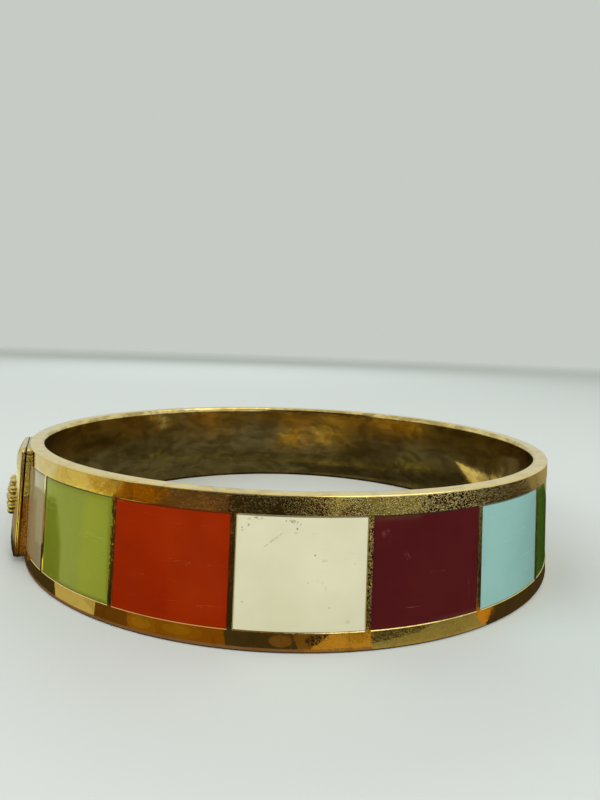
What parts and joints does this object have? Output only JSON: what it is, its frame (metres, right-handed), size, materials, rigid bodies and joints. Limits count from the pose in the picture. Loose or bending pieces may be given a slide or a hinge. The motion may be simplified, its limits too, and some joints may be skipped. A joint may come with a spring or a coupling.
{
  "type": "bangle",
  "caption": "Round hard bangle: a gilt metal band with rectangular cells of coloured enamel, a small rounded plaque and a beaded rosette on it.",
  "frame": {"origin": "centre of the wrist opening, half way up the band", "axes": "+Z along the wrist, the axis of the ring; the bangle lies on its -Z rim; -Y is the side that faces the viewer, with the plaque on the -X side"},
  "size_m": [0.066, 0.066, 0.0128],
  "materials": {
    "gilt_band": "polished",
    "gilt_plaque": "satin",
    "gilt_rosette": "satin",
    "enamel_taupe": "gloss",
    "enamel_lime": "gloss",
    "enamel_red": "gloss",
    "enamel_cream": "gloss",
    "enamel_burgundy": "gloss",
    "enamel_blue": "gloss",
    "enamel_green": "gloss"
  },
  "bodies": {
    "root": {"band": "gilt_band", "plaque": "gilt_plaque", "rosette": "gilt_rosette", "enamel_01": "enamel_taupe", "enamel_02": "enamel_lime", "enamel_03": "enamel_red", "enamel_04": "enamel_cream", "enamel_05": "enamel_burgundy", "enamel_06": "enamel_blue", "enamel_07": "enamel_green", "enamel_08": "enamel_taupe", "enamel_09": "enamel_lime", "enamel_10": "enamel_red", "enamel_11": "enamel_cream", "enamel_12": "enamel_burgundy", "enamel_13": "enamel_blue", "enamel_14": "enamel_green", "enamel_15": "enamel_taupe", "enamel_16": "enamel_lime", "enamel_17": "enamel_red", "enamel_18": "enamel_cream"}
  },
  "joints": []
}
